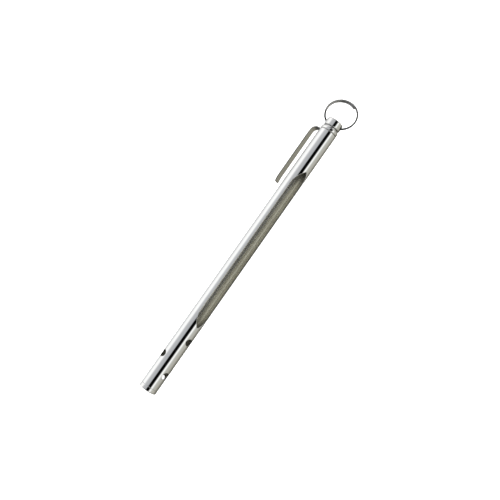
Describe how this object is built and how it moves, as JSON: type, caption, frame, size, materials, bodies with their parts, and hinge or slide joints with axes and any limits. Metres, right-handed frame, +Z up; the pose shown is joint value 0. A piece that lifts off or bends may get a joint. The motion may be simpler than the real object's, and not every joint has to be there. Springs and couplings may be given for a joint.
{
  "type": "pocket thermometer case",
  "caption": "Slim bright-plated pocket thermometer case: windowed tube with flow holes, end cap, pocket clip, screw cap and a swivel knob carrying a split ring.",
  "frame": {"origin": "centre of the case's footprint, on the surface it lies on", "axes": "+X along the tube towards the split ring, +Z up as the case lies on a table with its window facing up, +Y towards the pocket clip's side"},
  "size_m": [0.1863, 0.0187, 0.0098],
  "materials": {
    "tube_plate": "bright chrome plate on drawn brass tube, satin inside",
    "cap_plate": "bright chrome plate on turned brass",
    "clip_steel": "nickel-plated spring steel sheet",
    "ring_steel": "nickel-plated round spring wire",
    "bush_brass": "turned brass",
    "spring_steel": "drawn spring wire",
    "cup_brass": "turned brass",
    "pad_rubber": "moulded black rubber"
  },
  "bodies": {
    "case": {"barrel": "tube_plate", "tip_plug": "cap_plate", "tip_cushion": "pad_rubber", "threaded_bush": "bush_brass"},
    "clip": {"pocket_clip": "clip_steel"},
    "spring": {"pressure_spring": "spring_steel"},
    "plunger": {"spring_cup": "cup_brass", "top_cushion": "pad_rubber"},
    "cap": {"cap_body": "cap_plate"},
    "knob": {"swivel_knob": "cap_plate", "stem_washer": "cup_brass", "stem_circlip": "spring_steel"},
    "ring": {"split_ring": "ring_steel"}
  },
  "joints": [
    {"name": "cap_lift", "type": "slide", "parent": "case", "child": "clip", "axis": [1, 0, 0], "range_m": [0, 0.04]},
    {"name": "cap_rise", "type": "slide", "parent": "clip", "child": "spring", "axis": [1, 0, 0], "range_m": [0, 0.006]},
    {"name": "cap_turn", "type": "hinge", "parent": "spring", "child": "cap", "pos_m": [0.072, 0, 0.0049], "axis": [1, 0, 0], "range_deg": [0, 2880]},
    {"name": "knob_swivel", "type": "hinge", "parent": "cap", "child": "knob", "pos_m": [0.0755, 0, 0.0049], "axis": [1, 0, 0], "continuous": true},
    {"name": "ring_swing", "type": "hinge", "parent": "knob", "child": "ring", "pos_m": [0.07648, 0, 0.0049], "axis": [0, 1, 0], "range_deg": [-135.2, 114.8]},
    {"name": "cup_press", "type": "slide", "parent": "spring", "child": "plunger", "axis": [1, 0, 0], "range_m": [0, 0.0014], "stiffness_N_per_m": 300, "springref_m": -0.001, "deforming": ["pressure_spring"]}
  ],
  "couplings": [
    {"joint": "cap_rise", "follows": "cap_turn", "m_per_rad": 0.00011937}
  ]
}
